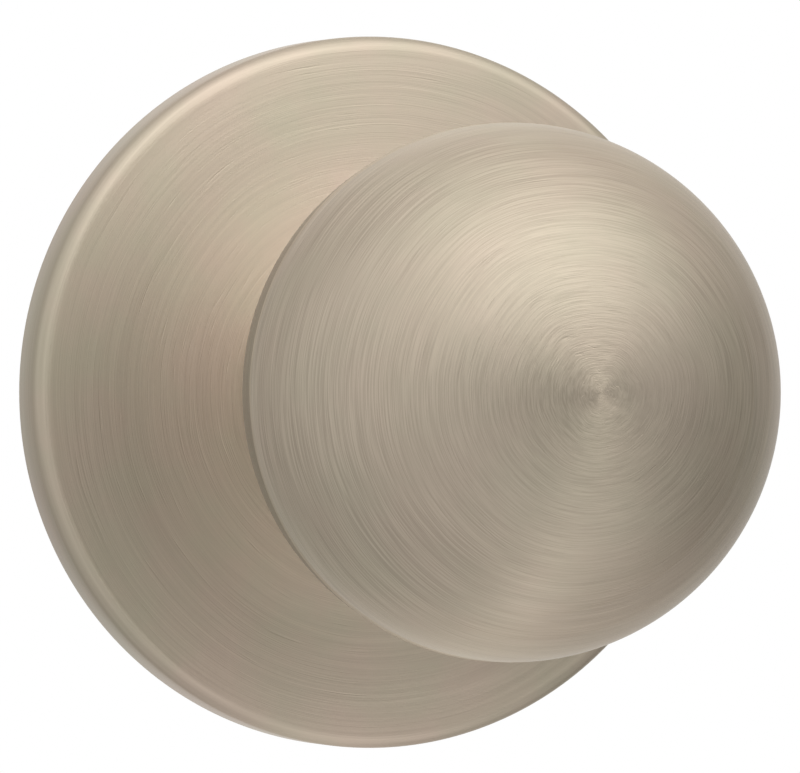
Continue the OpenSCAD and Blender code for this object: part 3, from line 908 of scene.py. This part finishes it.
def studio():
    """Plain soft studio light, all of it from the world: wide smooth glows in a dark room, and a
    pale backdrop behind the knob."""
    scene = bpy.context.scene
    scene.view_settings.view_transform = "Standard"
    world = bpy.data.worlds.new("studio")
    world.use_nodes = True
    scene.world = world
    n = Nodes(world.node_tree)
    way = n.add("ShaderNodeTexCoord").outputs["Generated"]
    right, back, _ = n.add("ShaderNodeSeparateXYZ", {0: way}).outputs
    # The backdrop behind the knob is white on the right and in shade on the left, with a dark seam
    # along its edge and a dimmer strip in front of that
    behind = n.math("ADD", n.span(back, 0.30, 0.305, 0, 0.65), n.span(back, 0.60, 0.64, 0, 0.35))
    strip = n.math("MULTIPLY", n.span(back, 0.10, 0.20, 0, 0.3), n.span(back, 0.27, 0.275, 1, 0))
    behind = n.math("ADD", behind, strip)
    light = n.math("MULTIPLY", behind, n.span(right, -0.5, 0.1, 0.35, 1.0))
    # Each glow: its angle from the knob's axis, its angle round it, its strength and how narrow it is
    wide, small = 10, 60
    fill = [(45, azimuth, 0.7, wide) for azimuth in range(0, 320, 40)]
    left_wall = [(95, azimuth, 0.8, wide) for azimuth in (120, 150, 180)]
    low_wall = [(95, azimuth, 0.5, wide) for azimuth in (210, 240, 270)]
    key = [(45, 120, 1.0, wide)]
    top = [(70, 30, 0.5, wide), (70, 60, 1.5, wide), (70, 90, 1.5, wide)]
    low_right = [(70, 300, 1.0, wide)]
    glint = [(96, 278, 1.0, small)]
    glows = fill + left_wall + low_wall + key + top + low_right + glint
    for polar, azimuth, strength, narrow in glows:
        p, a = radians(polar), radians(azimuth)
        middle = (sin(p) * cos(a), -cos(p), sin(p) * sin(a))
        product = n.add("ShaderNodeVectorMath", {0: way, 1: middle}, operation="DOT_PRODUCT")
        near = product.outputs["Value"]
        glow = n.math("POWER", exp(narrow), n.math("SUBTRACT", near, 1.0))
        light = n.math("ADD", light, n.math("MULTIPLY", glow, strength))
    # Every view sees white around the knob, but no light comes from that
    seen = n.add("ShaderNodeLightPath").outputs["Is Camera Ray"]
    background = n.add("ShaderNodeBackground", {0: (1, 1, 1, 1), 1: n.math("MAXIMUM", light, seen)})
    n.add("ShaderNodeOutputWorld", {0: background.outputs[0]})


def floor():
    """A plain pale floor well below the knob, which only the camera sees."""
    material, n = new_material("floor_paint")
    place = n.add("ShaderNodeTexCoord").outputs["Object"]
    tone = n.span(n.noise(place, 3.0, 2.0), 0.3, 0.7)
    colour = n.mix(tone, (0.80, 0.80, 0.79, 1), (0.83, 0.83, 0.82, 1))
    shader = n.add("ShaderNodeBsdfPrincipled", {"Base Color": colour, "Roughness": 0.7})
    n.add("ShaderNodeOutputMaterial", {0: shader.outputs[0]})
    steps, reach, low = 96, 1.25, -0.1
    vertices = [(x, y, low) for x, y in disc((0, 0), reach, steps)]
    piece = build("floor", vertices, [list(range(steps))])
    piece.data.materials.append(material)
    # The world's light is complete without the floor, so the floor neither blocks nor adds to it
    piece.visible_glossy = piece.visible_diffuse = piece.visible_shadow = False


def camera():
    """The photo's view: level with the knob and a little to its left, from 0.8 m away."""
    distance, azimuth, lens = 0.804, radians(-18.46), 382.2
    aim_right, aim_up = 0.00384, 0.00054
    data = bpy.data.cameras.new("camera")
    data.sensor_width, data.lens = 36, lens
    data.clip_start, data.clip_end = 0.05, 20
    view = bpy.data.objects.new("camera", data)
    back = Vector((sin(azimuth), -cos(azimuth), 0))
    right = Vector((cos(azimuth), sin(azimuth), 0))
    aim = right * aim_right + Vector((0, 0, aim_up))
    view.location = aim + back * distance
    view.rotation_euler = back.to_track_quat("Z", "Y").to_euler()
    bpy.context.scene.collection.objects.link(view)
    bpy.context.scene.camera = view


camera()
studio()
floor()
zinc = plain_metal("zinc_plate", (0.60, 0.61, 0.61), (0.68, 0.69, 0.71), 0.33, 2600.0, worn=0.15)
cast = plain_metal(
    "die_cast_zinc", (0.44, 0.45, 0.46), (0.54, 0.55, 0.56), 0.5, 3000.0, relief=0.4, worn=0.25
)
bright = plain_metal(
    "bright_steel", (0.64, 0.64, 0.65), (0.74, 0.74, 0.75), 0.27, 3000.0,
    stretch=(1, 0.6, 1), relief=0.08, worn=0.1,
)
drawn = plain_metal(
    "drawn_steel", (0.56, 0.56, 0.57), (0.70, 0.70, 0.71), 0.3, 4500.0,
    stretch=(1, 0.03, 1), relief=0.3, worn=0.15,
)
spring = plain_metal("spring_steel", (0.22, 0.22, 0.24), (0.30, 0.30, 0.33), 0.32, 3500.0, worn=0.3)
white = plain_metal(
    "natural_nylon", (0.78, 0.76, 0.69), (0.85, 0.83, 0.77), 0.45, 1500.0, relief=0.1, metallic=0.0
)

# The back shell's lower level is painted shade, and the rose's lighter middle and darker rim are painted
# light and painted shade, set only to match the photo's tones
nickel_front = brushed_nickel("nickel_front")
nickel_back_painted_shade = brushed_nickel("nickel_back_painted_shade", level=0.66)
nickel_rose = brushed_nickel(
    "nickel_rose", level=1.3, fine_share=0.08, medium_share=0.45, blush=0.75,
    middle=1.3, rim=0.7, relief=0.5, left=0.8,
)

dress(front_shell(), "knob", "knob_front_shell", nickel_front)
dress(back_shell(), "knob", "knob_back_shell", nickel_back_painted_shade)
dress(brace(), "knob", "shank_plate", zinc)
dress(neck_bush(), "knob", "neck_bush", cast)
dress(sleeve(), "knob", "knob_sleeve", zinc)
dress(socket(), "knob", "spindle_socket", cast)
dress(spindle(), "knob", "spindle", drawn)
dress(pin(), "knob", "spindle_pin", bright)
dress(driver(), "knob", "spring_driver", zinc)
dress(wave_washer(), "knob", "wave_washer", spring)
back_washer = flat_washer("back_flat_washer", "back_washer", shank_r + snug)
dress(back_washer, "knob", "back_washer", bright)
dress(retaining_ring(), "knob", "retaining_ring", spring)
dress(rose(), "chassis", "rose", nickel_rose)
dress(neck_ring(), "chassis", "neck_ring", white)
dress(mounting_plate(), "chassis", "mounting_plate", zinc)
dress(screw_post("threaded_post_left", -1), "chassis", "screw_post_left", zinc)
dress(screw_post("threaded_post_right", 1), "chassis", "screw_post_right", zinc)
dress(spring_housing(), "chassis", "spring_housing", cast)
dress(rivets(), "chassis", "housing_rivets", bright)
dress(bearing(), "chassis", "knob_bearing", white)
thrust_washer = flat_washer("thrust_flat_washer", "thrust_washer", shank_r + running)
dress(thrust_washer, "chassis", "thrust_washer", bright)

# The return spring is built in place as one mesh, attached to neither the housing nor the knob
coil = return_spring()
coil.data.materials.append(spring)
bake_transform(coil)
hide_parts("return_spring")
